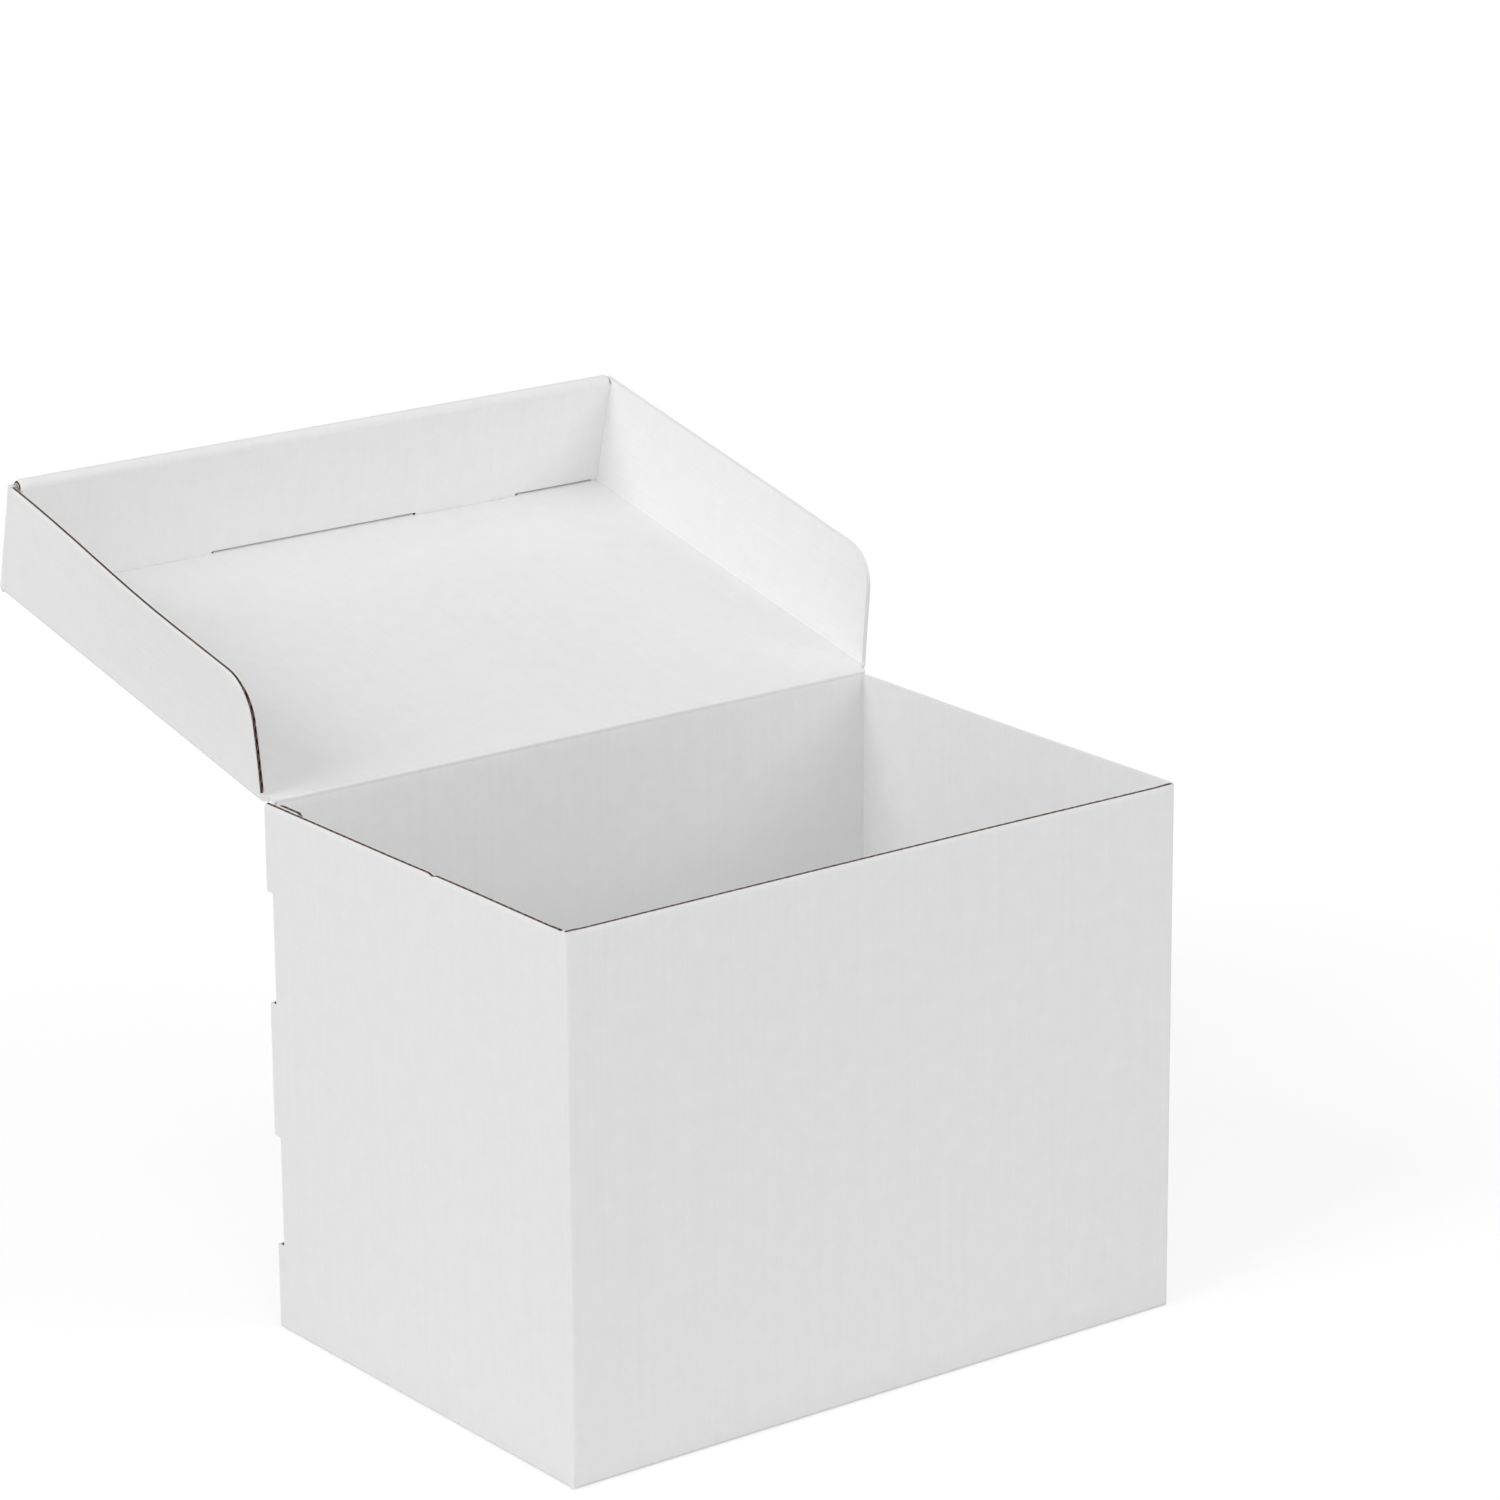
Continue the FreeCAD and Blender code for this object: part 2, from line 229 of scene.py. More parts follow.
def roundOutline(corners, steps=9):
    points, kinds = [], []
    count = len(corners)
    for i, (u, v, kind, radius) in enumerate(corners):
        here = Vector((u, v))
        if not radius:
            points.append(here)
            kinds.append(kind)
            continue
        back = (Vector(corners[i - 1][:2]) - here).normalized()
        on = (Vector(corners[(i + 1) % count][:2]) - here).normalized()
        opening = back.angle(on) / 2
        centre = here + (back + on).normalized() * radius / math.sin(opening)
        start = here + back * radius / math.tan(opening) - centre
        sweep = math.pi - 2 * opening
        turn = 1 if back.y * on.x - back.x * on.y > 0 else -1
        for k in range(steps + 1):
            spin = turn * sweep * k / steps
            points.append(centre + Matrix.Rotation(spin, 2) @ start)
            kinds.append(corners[i - 1][2] if k < steps else kind)
    return points, kinds


def insetOutline(points, kinds, reach):
    # each edge moves inwards by its own distance
    moved = []
    count = len(points)
    for i in range(count):
        lines = []
        for j in (i - 1, i):
            a, b = points[j], points[(j + 1) % count]
            direction = (b - a).normalized()
            normal = Vector((-direction.y, direction.x))
            lines.append((a + normal * reach[kinds[j]], direction))
        (a, p), (b, q) = lines
        cross = p.x * q.y - p.y * q.x
        if abs(cross) < 0.02:
            moved.append((a + p * (points[i] - a).dot(p) + b + q * (points[i] - b).dot(q)) / 2)
            continue
        gap = b - a
        moved.append(a + p * (gap.x * q.y - gap.y * q.x) / cross)
    return moved


# kinds of edge: fold and full are creases rounded on one or both faces, butt meets another panel,
# glued and pressed are cuts that are held or crushed shut, raw is a cut with its flutes open
held = ("fold", "butt", "full", "glued")
closed = ("fold", "butt", "full", "pressed")


def prism(points, low, high):
    shape = bmesh.new()
    under = [shape.verts.new((*point, low)) for point in points]
    over = [shape.verts.new((*point, high)) for point in points]
    shape.faces.new(under[::-1])
    shape.faces.new(over)
    for i in range(len(points)):
        j = (i + 1) % len(points)
        shape.faces.new((under[i], under[j], over[j], over[i]))
    return shape


def toSegment(point, a, b):
    along = b - a
    share = max(0.0, min(1.0, (point - a).dot(along) / along.length_squared))
    return (point - (a + along * share)).length


def nearestEdge(point, points):
    count = len(points)
    return min(range(count), key=lambda i: toSegment(point, points[i], points[(i + 1) % count]))


def roundFolds(shape, points, kinds):
    for kind, radius, levels in (("full", board["fullRound"], (-half, half)),
                                 ("fold", board["creaseRound"], (half,))):
        segments = [(points[i], points[(i + 1) % len(points)]) for i, k in enumerate(kinds) if k == kind]
        if not segments:
            continue
        chosen = []
        for edge in shape.edges:
            ends = [vert.co for vert in edge.verts]
            if abs(ends[0].z - ends[1].z) > 1e-4 or all(abs(ends[0].z - level) > 1e-4 for level in levels):
                continue
            if any(all(toSegment(end.xy, a, b) < 1e-3 for end in ends) for a, b in segments):
                chosen.append(edge)
        bmesh.ops.bevel(shape, geom=chosen, offset=radius, offset_type="OFFSET",
                        segments=board["roundSteps"], profile=0.5, affect="EDGES", clamp_overlap=False)


def sliceShape(shape, place, direction):
    everything = shape.verts[:] + shape.edges[:] + shape.faces[:]
    bmesh.ops.bisect_plane(shape, geom=everything, dist=0.002, plane_co=place, plane_no=direction)


def cutEdgeRows(shape, points, kinds):
    # mesh rows along an edge, for the line pressed beside a long crease and the crush of a cut
    count = len(points)
    for i, kind in enumerate(kinds):
        a, b = points[i], points[(i + 1) % count]
        rows = ()
        if kind == "full" and (b - a).length > board["longEdge"]:
            rows = board["creaseRows"]
        elif kind == "raw" and (b - a).length > board["thickness"]:
            rows = (board["slantReach"],)
        inwards = Vector((-(b - a).y, (b - a).x, 0)).normalized()
        for away in rows:
            sliceShape(shape, Vector((*a, 0)) + inwards * away, inwards)


def cutCells(shape, spacing, direction):
    values = [vert.co.dot(direction) for vert in shape.verts]
    low, high = min(values), max(values)
    for k in range(math.ceil(low / spacing), math.floor(high / spacing) + 1):
        if k * spacing - low < 0.05 or high - k * spacing < 0.05:
            continue
        sliceShape(shape, direction * k * spacing, direction)


def meshFrom(shape, name):
    mesh = bpy.data.meshes.new(name)
    shape.to_mesh(mesh)
    shape.free()
    return mesh


def evaluated(workpiece):
    graph = bpy.context.evaluated_depsgraph_get()
    graph.update()
    return bpy.data.meshes.new_from_object(workpiece.evaluated_get(graph))


def linerShell(points, kinds, cellAlong):
    shape = prism(points, -half, half)
    roundFolds(shape, points, kinds)
    cutEdgeRows(shape, points, kinds)
    cutCells(shape, cellAlong, Vector((0, 1, 0)))
    cutCells(shape, board["cellAcross"], Vector((1, 0, 0)))
    count = len(points)
    creases = [(points[i], points[(i + 1) % count]) for i, kind in enumerate(kinds) if kind in closed]
    opened = []
    shape.normal_update()
    for face in shape.faces:
        if abs(face.normal.z) > 0.5:
            continue
        middle = face.calc_center_median().xy
        if kinds[nearestEdge(middle, points)] in closed:
            continue
        if min((toSegment(middle, a, b) for a, b in creases), default=99) < board["closedByCrease"]:
            continue
        opened.append(face)
    bmesh.ops.delete(shape, geom=opened, context="FACES")
    mesh = meshFrom(shape, "linerShell")
    workpiece = bpy.data.objects.new("linerShell", mesh)
    bpy.context.scene.collection.objects.link(workpiece)
    thicken = workpiece.modifiers.new("paperThickness", "SOLIDIFY")
    thicken.thickness = board["linerPaper"]
    thicken.offset = -1
    thicken.use_even_offset = True
    thicken.use_rim = True
    thicken.material_offset = 1
    thicken.material_offset_rim = 2
    for material in (boardWhite, kraftInsideWithPaintedShade, cutLiner):
        mesh.materials.append(material)
    result = evaluated(workpiece)
    bpy.data.objects.remove(workpiece)
    return result


fluteRoom = half - board["linerPaper"]
fluteRise = fluteRoom - board["mediumPaper"] / 2 - 0.01
fluteShort = {"raw": 0.05, "glued": 0.05, "butt": 0.3, "pressed": 0.3, "fold": 1.3, "full": 0.9}


def fluteTree():
    tree = bpy.data.node_groups.new("fluteMedium", "GeometryNodeTree")
    tree.is_modifier = True
    ports = {}
    for name, kind, value in (("Geometry", "Geometry", None), ("Pitch", "Float", board["flutePitch"]),
                              ("Rise", "Float", fluteRise), ("Paper", "Float", board["mediumPaper"]),
                              ("Step Across", "Float", board["mediumAcross"]),
                              ("Step Along", "Float", board["cellAlong"]), ("Material", "Material", None)):
        socket = tree.interface.new_socket(name, in_out="INPUT", socket_type="NodeSocket" + kind)
        if value is not None:
            socket.default_value = value
        ports[name] = socket.identifier
    tree.interface.new_socket("Geometry", in_out="OUTPUT", socket_type="NodeSocketGeometry")
    make = nodeMaker(tree)
    given = make("NodeGroupInput").outputs

    def maths(operation, *values):
        return make("ShaderNodeMath", dict(enumerate(values)), operation=operation).outputs[0]

    bounds = make("GeometryNodeBoundBox", {"Geometry": given["Geometry"]}).outputs
    high, low = bounds["Max"], bounds["Min"]
    size = make("ShaderNodeVectorMath", {0: high, 1: low}, operation="SUBTRACT").outputs[0]
    middle = make("ShaderNodeVectorMath", {0: high, 1: low}, operation="ADD").outputs[0]
    middle = make("ShaderNodeVectorMath", {0: middle, 1: (0.5, 0.5, 0.5)}, operation="MULTIPLY").outputs[0]
    sides = make("ShaderNodeSeparateXYZ", {"Vector": size}).outputs
    counts = {}
    for letter, step in (("X", "Step Across"), ("Y", "Step Along")):
        cells = maths("CEIL", maths("DIVIDE", sides[letter], given[step]))
        counts[letter] = maths("ADD", cells, 1.0)
    grid = make("GeometryNodeMeshGrid", {
        "Size X": maths("ADD", sides["X"], 1.0), "Size Y": maths("ADD", sides["Y"], 1.0),
        "Vertices X": counts["X"], "Vertices Y": counts["Y"]}).outputs["Mesh"]
    placed = make("GeometryNodeTransform", {"Geometry": grid, "Translation": middle}).outputs["Geometry"]
    position = make("GeometryNodeInputPosition").outputs["Position"]
    across = make("ShaderNodeSeparateXYZ", {"Vector": position}).outputs["X"]
    angle = maths("MULTIPLY", maths("DIVIDE", across, given["Pitch"]), 2 * math.pi)
    lift = maths("MULTIPLY", maths("SINE", angle), given["Rise"])
    lift = maths("SUBTRACT", lift, maths("MULTIPLY", given["Paper"], 0.5))
    offset = make("ShaderNodeCombineXYZ", {"Z": lift}).outputs[0]
    wave = make("GeometryNodeSetPosition", {"Geometry": placed, "Offset": offset}).outputs["Geometry"]
    up = make("ShaderNodeCombineXYZ", {"Z": 1.0}).outputs[0]
    thick = make("GeometryNodeExtrudeMesh", {"Mesh": wave, "Offset": up, "Offset Scale": given["Paper"],
                                             "Individual": False}).outputs["Mesh"]
    under = make("GeometryNodeFlipFaces", {"Mesh": wave}).outputs["Mesh"]
    both = make("GeometryNodeJoinGeometry")
    tree.links.new(thick, both.inputs[0])
    tree.links.new(under, both.inputs[0])
    whole = make("GeometryNodeMergeByDistance",
                 {"Geometry": both.outputs[0], "Distance": 0.001}).outputs["Geometry"]
    trimmed = make("GeometryNodeMeshBoolean", operation="INTERSECT", solver="MANIFOLD")
    tree.links.new(whole, trimmed.inputs["Mesh 2"])
    tree.links.new(given["Geometry"], trimmed.inputs["Mesh 2"])
    real = make("GeometryNodeRealizeInstances", {"Geometry": trimmed.outputs["Mesh"]}).outputs["Geometry"]
    dressed = make("GeometryNodeSetMaterial",
                   {"Geometry": real, "Material": given["Material"]}).outputs["Geometry"]
    make("NodeGroupOutput", {"Geometry": dressed})
    return tree, ports


flutes, flutePorts = fluteTree()


def fluteMedium(points, kinds, cellAlong):
    # the wave stops short of each kind of edge by its own distance
    inside = insetOutline(points, kinds, fluteShort)
    mesh = meshFrom(prism(inside, -fluteRoom, fluteRoom), "fluteRoom")
    workpiece = bpy.data.objects.new("fluteRoom", mesh)
    bpy.context.scene.collection.objects.link(workpiece)
    wave = workpiece.modifiers.new("fluteMedium", "NODES")
    wave.node_group = flutes
    for name, value in (("Step Along", cellAlong), ("Material", kraftMedium)):
        wave[flutePorts[name]] = value
    result = evaluated(workpiece)
    bpy.data.objects.remove(workpiece)
    return result


def smooth(share):
    share = max(0.0, min(1.0, share))
    return share * share * (3 - 2 * share)


def layeredBoard(points, kinds, cellAlong, seed):
    whole = bmesh.new()
    whole.from_mesh(linerShell(points, kinds, cellAlong))
    linerFaces = len(whole.faces)
    whole.from_mesh(fluteMedium(points, kinds, cellAlong))
    whole.faces.ensure_lookup_table()
    for face in whole.faces[linerFaces:]:
        face.material_index = 3
    uv = whole.loops.layers.uv.new("boardUV")
    for face in whole.faces:
        flat = abs(face.normal.z) > 0.5
        for loop in face.loops:
            u, v, w = loop.vert.co
            loop[uv].uv = ((u + seed * 37 if flat else u + w) * 0.01, (v + (0 if flat else w)) * 0.01)
    return whole


def tornFibres(point, seed):
    rough = noise.noise(Vector((*(point * board["tearCoarse"]), seed)))
    rough += 0.6 * noise.noise(Vector((*(point * board["tearFine"]), seed)))
    return board["tear"] * (0.5 + 0.5 * rough)


def wearBoard(whole, points, kinds, bow, wander, seed, endCrush):
    count = len(points)
    edges = [(points[i], points[(i + 1) % count]) for i in range(count)]
    heldLines = [edges[i] for i in range(count) if kinds[i] in held]
    creases = [edges[i] for i in range(count) if kinds[i] in closed]
    longCreases = [edges[i] for i in range(count)
                   if kinds[i] == "full" and (edges[i][1] - edges[i][0]).length > board["longEdge"]]
    wave = 2 * math.pi / board["flutePitch"]
    for vert in whole.verts:
        point, w = vert.co.xy, vert.co.z
        fade = 1.0
        for a, b in heldLines:
            fade *= 1 - math.exp(-(toSegment(point, a, b) / board["bowReach"]) ** 2)
        fromCrease = min((toSegment(point, a, b) for a, b in creases), default=9)
        calm = smooth((fromCrease - board["calmFrom"]) / board["calmOver"])
        crest = math.sin(point.x * wave)
        sink = (crest - 1) / 2 if w > 0 else (crest + 1) / 2
        if abs(w) > half - 0.01:
            vert.co.z += board["washboard"] * sink * calm
        stray = noise.noise(Vector((*(point / board["strayLength"]), seed * 3.7 + 0.5)))
        vert.co.z += fade * (bow + wander * stray)
        edge = min(range(count), key=lambda i: toSegment(point, *edges[i]))
        away = toSegment(point, *edges[edge])
        if kinds[edge] == "raw" and away < board["slantReach"]:
            near = 1 - away / board["slantReach"]
            a, b = edges[edge]
            inwards = Vector((-(b - a).y, (b - a).x)).normalized()
            crossing = smooth(abs(inwards.y) * 2 - 0.7)
            crush = board["edgeCrush"] + (endCrush - board["edgeCrush"]) * crossing
            vert.co.z -= w * crush * near * calm
            give = board["cutSlant"] * (w + half) / board["thickness"] * near
            if away < 0.02 and abs(w) > half - board["tearDepth"]:
                give += tornFibres(point, seed + (5.0 if w > 0 else 9.0))
            shift = inwards * give * (0.25 + 0.75 * calm)
            vert.co.x += shift.x
            vert.co.y += shift.y
        for a, b in longCreases:
            if w < board["linerPaper"] - half + 0.01:
                off = (toSegment(point, a, b) - board["creaseRows"][2]) / board["pressedWidth"]
                vert.co.z += board["creasePressed"] * math.exp(-off * off)


def boardPiece(name, body, plane, middle, along, outside, corners, bow=0.0, wander=0.15, shape=None,
               slot="board", seed=0.0, cellAlong=board["cellAlong"], endCrush=board["edgeCrush"]):
    # bow is outwards; the lid's and the header's panels are drawn on the shut lid
    place = placePanel(plane, middle, along, outside)
    points, kinds = roundOutline(toPanel(corners, plane, place))
    whole = layeredBoard(points, kinds, cellAlong, seed)
    wearBoard(whole, points, kinds, bow, wander, seed, endCrush)
    if shape:
        for vert in whole.verts:
            vert.co = shape(vert.co)
    whole.transform((Matrix.Scale(mm, 4) if body == "base" else lidPlace) @ place)
    mesh = meshFrom(whole, f"{name}_board")
    white = headerWhite if slot == "header_board" else boardWhite
    for material in (white, kraftInsideWithPaintedShade, cutLiner, kraftMedium):
        mesh.materials.append(material)
    mesh.shade_smooth()
    mesh.set_sharp_from_angle(angle=math.radians(38))
    piece = bpy.data.objects.new(f"{name}_board", mesh)
    bpy.context.scene.collection.objects.link(piece)
    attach(piece, body)
    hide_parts(name)
    return piece


lidHinge = joints["lid_hinge"]
shutAngle = math.radians(lidHinge["range_deg"][0])
lidPlace = Matrix.Translation(lidHinge["pos_m"]) @ Matrix.Rotation(shutAngle, 4, "X") @ Matrix.Scale(mm, 4)


base = {
    "length": 211.0, "depth": 141.5, "height": 158.0,
    "hingeRise": 1.05, "hingeCrown": 0.7,  # the hinge line over the walls' top, and the round over that
    "hingeRelief": 1.9, "reliefRise": 0.3,
    "tabEnd": 26.0, "tabGap": 33.0, "tabProud": 3.0, "tabRound": 0.35,
    "nickPlace": -8.5, "nickDeep": 0.55, "nickWide": 1.1, "nickFoot": 4.0,
    "bow": -0.5, "backBow": -0.3,
}
outX, outY, topZ = base["length"] / 2, base["depth"] / 2, base["height"]
inX, inY = outX - board["thickness"], outY - board["thickness"]
hingeTop = topZ + base["hingeRise"] + base["hingeCrown"]
reliefX = outX - base["hingeRelief"]


def rectangle(low, high, bottom, top, kinds):
    # kinds of the bottom, right, top and left edges
    return [(low, bottom, kinds[0], 0), (high, bottom, kinds[1], 0), (high, top, kinds[2], 0),
            (low, top, kinds[3], 0)]


boardPiece("front_wall", "base", "front", -outY + half, "Z", "-Y",
           rectangle(-outX, outX, 0, topZ, ("fold", "fold", "raw", "fold")), bow=base["bow"], seed=1)
boardPiece("right_wall", "base", "side", outX - half, "Z", "X",
           rectangle(-inY, inY, 0, topZ, ("fold", "butt", "pressed", "butt")), bow=base["bow"], seed=2)
boardPiece("back_wall", "base", "front", outY - half, "Z", "Y",
           [(-inX, 0, "fold", 0), (outX, 0, "fold", 0), (outX, topZ, "pressed", 0),
            (reliefX, topZ + base["reliefRise"], "pressed", 0), (reliefX, hingeTop, "full", 0),
            (-reliefX, hingeTop, "pressed", 0), (-inX, topZ, "butt", 0)], bow=base["backBow"], seed=3)

rear = outY + base["tabProud"]
lowGap = (base["tabEnd"], base["tabEnd"] + base["tabGap"])
highGap = (topZ - lowGap[1], topZ - lowGap[0])
leftCorners = [(-inY, 0, "fold", 0), (rear, 0, "glued", 0)]
for low, high in (lowGap, highGap):
    leftCorners += [(across, up, "glued", base["tabRound"])
                    for across, up in ((rear, low), (outY, low), (outY, high), (rear, high))]
leftCorners += [(rear, topZ, "raw", base["tabRound"]), (-inY, topZ, "butt", 0)]


def topNick(co):
    # a small dent in the cut top edge, near its middle
    dip = base["nickDeep"] * math.exp(-((co.x + base["nickPlace"]) / base["nickWide"]) ** 2)
    foot = base["nickFoot"]
    return Vector((co.x, co.y - dip * smooth((co.y - topZ + foot) / foot), co.z))


boardPiece("left_wall", "base", "side", -outX + half, "Z", "-X", leftCorners, bow=base["bow"],
           shape=topNick, seed=4)

cornerFlap = {"width": 12.0, "foot": 8.0, "slant": 2.0}
flapEnd = inY - cornerFlap["width"]
boardPiece("corner_flap", "base", "side", -inX + half, "Z", "-X", [
    (inY, cornerFlap["foot"], "butt", 0),
    (inY, topZ, "glued", 0),
    (flapEnd + cornerFlap["slant"], topZ, "glued", 0),
    (flapEnd, topZ - cornerFlap["slant"], "raw", 0),
    (flapEnd, cornerFlap["foot"] + cornerFlap["slant"], "raw", 0),
    (flapEnd + cornerFlap["slant"], cornerFlap["foot"], "raw", 0)], bow=0, wander=0, seed=5)
print("walls ready")


# the snap-lock bottom: the front flap lies outermost, then the side flaps, then the back flap
bottom = {
    "sideGap": 0.5, "shoulder": 18.0, "nose": 152.0, "lockLine": 8.0,
    "tongue": 80.0, "ramp": 12.0, "reach": 22.0, "tongueRound": 8.0,
    "sideRoot": 124.0, "sideLength": 54.0, "sideTipFront": 22.0, "sideTipRear": 34.0,
    "backShoulder": 24.0, "ear": 20.0, "earOuter": 92.0, "earInner": 46.0, "notch": 42.0, "notchLine": 20.8,
    "cellAlong": 2.9,
}
floorX = inX - bottom["sideGap"]
lockLine, tongueX = bottom["lockLine"], bottom["tongue"] / 2
tongueEnd = lockLine + bottom["ramp"] + bottom["reach"]


def tongueClimb(co):
    # the tongue climbs three boards, past the side flaps, and lies on the back flap
    rise = 3 * board["thickness"] * smooth((co.y - lockLine) / bottom["ramp"])
    return Vector((co.x, co.y, co.z - rise))


def mirrorCorners(corners):
    # the same corners on the other side, in the running order that continues them
    return [(-across, up, kind, radius) for across, up, kind, radius in corners[::-1]]


halfFront = [(floorX, -inY + bottom["shoulder"], "raw", 0), (bottom["nose"] / 2, lockLine, "raw", 0),
             (tongueX, lockLine, "raw", 0), (tongueX, tongueEnd, "raw", bottom["tongueRound"])]
boardPiece("bottom_front_flap", "base", "flat", half, "Y", "-Z",
           [(-floorX, -inY, "butt", 0), (floorX, -inY, "raw", 0)] + halfFront + mirrorCorners(halfFront),
           bow=0, wander=0, shape=tongueClimb, cellAlong=bottom["cellAlong"], seed=6)

sideTip, halfRoot = inX - bottom["sideLength"], bottom["sideRoot"] / 2
sideCorners = {
    "right": [(inX, -halfRoot, "butt", 0), (inX, halfRoot, "raw", 0),
              (sideTip, bottom["sideTipRear"], "raw", 0), (sideTip, -bottom["sideTipFront"], "raw", 0)],
    "left": [(-inX, halfRoot, "butt", 0), (-inX, -halfRoot, "raw", 0),
             (-sideTip, -bottom["sideTipFront"], "raw", 0), (-sideTip, bottom["sideTipRear"], "raw", 0)],
}
for side, along, seed in (("right", "-X", 7), ("left", "X", 8)):
    boardPiece(f"bottom_{side}_flap", "base", "flat", half + board["thickness"], along, "-Z",
               sideCorners[side], bow=0, wander=0, seed=seed)

halfBack = [(floorX, inY, "raw", 0), (floorX, inY - bottom["backShoulder"], "raw", 0),
            (bottom["earOuter"], -bottom["ear"], "raw", 0), (bottom["earInner"], -bottom["ear"], "raw", 0),
            (bottom["notch"], bottom["notchLine"], "raw", 0)]
otherBack = mirrorCorners(halfBack)
otherBack[-1] = (-floorX, inY, "butt", 0)
boardPiece("bottom_back_flap", "base", "flat", half + 2 * board["thickness"], "Y", "-Z",
           halfBack + otherBack, bow=0, wander=0, seed=9)
print("bottom ready")


# the lid is drawn shut, from its hinge line
lid = {
    "width": 107.5, "topEnd": -144.85, "hingeEnd": 0.748, "low": -33.45, "topBow": 0.4, "wander": 0.25,
    "relief": 2.7, "reliefDeep": 1.2,  # the cut beside a side flap's root
    "flapStart": -2.8, "flapFoot": -9.0, "flapRound": 13.0, "front": -144.84, "flapBow": -0.25,
    "springLeft": (3.9, 0.0), "springRight": (2.2, 1.2),  # how far a side flap springs out, rear and front
    "springFrom": 95.0, "springCurve": 1.3, "rightProud": 1.6, "endCrush": 0.1,
    "dustEnd": 73.0, "dustLow": -31.45, "dustSlant": 6.0,
    "frontMiddle": -145.6, "cardMiddle": -143.95, "innerMiddle": -142.3, "outerBow": -0.1,
    "slitOuter": 75.65, "slitInner": 36.2, "slitEnd": -141.53,
    "tabOuter": 74.75, "tabInner": 37.1, "tabSlant": 0.8, "tabHigh": 3.15,
    "innerWidth": 105.7, "innerHigh": -1.35, "innerNarrow": 0.5, "rightFill": 1.5,
    "lugOuter": 0.3, "lugWide": 1.8, "lugHigh": -0.8,
    "ridgeAt": 62.0, "ridgeWide": 1.1, "ridge": 0.14,
    "hemRadius": 1.65, "hemFill": 1.2, "hemCell": 0.4,
}
lidX, lidLow = lid["width"], lid["low"]
flapX = lidX - board["thickness"]
hingeX = lidX - lid["relief"]
reliefY = lid["flapStart"] + lid["reliefDeep"]


def slit(start, end):
    return [(start, lid["topEnd"], "raw", 0), (start, lid["slitEnd"], "raw", 0),
            (end, lid["slitEnd"], "raw", 0), (end, lid["topEnd"], "butt", 0)]


boardPiece("lid_top", "lid", "flat", 0, "-Y", "Z",
           [(-lidX, lid["flapStart"], "fold", 0), (-lidX, lid["topEnd"], "butt", 0)]
           + slit(-lid["slitOuter"], -lid["slitInner"]) + slit(lid["slitInner"], lid["slitOuter"])
           + [(lidX, lid["topEnd"], "fold", 0), (lidX, lid["flapStart"], "pressed", 0),
              (hingeX, reliefY, "pressed", 0), (hingeX, lid["hingeEnd"], "full", 0),
              (-hingeX, lid["hingeEnd"], "pressed", 0), (-hingeX, reliefY, "pressed", 0)],
           bow=lid["topBow"], wander=lid["wander"], seed=10)


def springOut(co, rearLean, frontLean):
    # here x is the height, either way up, and y runs from the hinge to the front
    high = max(0.0, (abs(co.x) - half) / (-lidLow - half))
    rearwards = smooth((-lid["front"] - co.y) / lid["springFrom"])
    lean = (frontLean + (rearLean - frontLean) * rearwards) * high ** lid["springCurve"]
    return Vector((co.x, co.y, co.z + lean))


for side, sign, outside, inside, spring, cut, proud, seed in (
        ("left", -1, "-X", "X", lid["springLeft"], "raw", 0, 11),
        ("right", 1, "X", "-X", lid["springRight"], "pressed", lid["rightProud"], 12)):
    boardPiece(f"lid_{side}_flap", "lid", "side", sign * (lidX - half), "-Y", outside,
               [(lid["flapStart"], -half, "butt", 0), (lid["front"], -half, "glued", 0),
                (lid["front"], lidLow - proud, cut, 0), (lid["flapFoot"], lidLow, cut, lid["flapRound"])],
               bow=lid["flapBow"], wander=lid["wander"], shape=lambda co: springOut(co, *spring),
               seed=seed, endCrush=lid["endCrush"])
    boardPiece(f"lid_{side}_dust_flap", "lid", "front", lid["cardMiddle"], inside, "-Y",
               [(sign * flapX, lid["dustLow"], "butt", 0), (sign * flapX, lid["innerHigh"], "raw", 0),
                (sign * lid["dustEnd"], lid["innerHigh"] - lid["dustSlant"], "raw", 0),
                (sign * lid["dustEnd"], lid["dustLow"] + lid["dustSlant"], "raw", 0)],
               bow=0, wander=0, seed=seed + 2)
boardPiece("lid_front_outer", "lid", "front", lid["frontMiddle"], "-Z", "-Y",
           [(-lidX, lidLow, "butt", 0), (lidX + lid["springRight"][1], lidLow, "butt", 0),
            (lidX, half, "fold", 0), (-lidX, half, "butt", 0)], bow=lid["outerBow"], wander=0.1, seed=15)

lugEnd = lid["innerWidth"] - lid["lugWide"]
rightInner = [(lid["innerWidth"] + lid["rightFill"], lidLow, "butt", 0),
              (lid["innerWidth"] + lid["lugOuter"], lid["lugHigh"], "pressed", 0),
              (lugEnd, lid["lugHigh"], "pressed", 0), (lugEnd, lid["innerHigh"], "pressed", 0),
              (lid["tabOuter"], lid["innerHigh"], "raw", 0), (lid["tabOuter"], half, "raw", 0),
              (lid["tabOuter"] - lid["tabSlant"], lid["tabHigh"], "raw", 0),
              (lid["tabInner"] + lid["tabSlant"], lid["tabHigh"], "raw", 0),
              (lid["tabInner"], half, "raw", 0), (lid["tabInner"], lid["innerHigh"], "pressed", 0)]
leftInner = mirrorCorners(rightInner)
leftInner[-1] = (lid["innerNarrow"] - lid["innerWidth"], lidLow, "butt", 0)


def pressedThrough(co):
    # what lies in the pocket shows through as two faint upright lines
    off = (abs(co.x) - lid["ridgeAt"]) / lid["ridgeWide"]
    return Vector((co.x, co.y, co.z + lid["ridge"] * math.exp(-off * off)))


boardPiece("lid_front_inner", "lid", "front", lid["innerMiddle"], "Z", "Y", rightInner + leftInner, bow=0,
           shape=pressedThrough, seed=16)


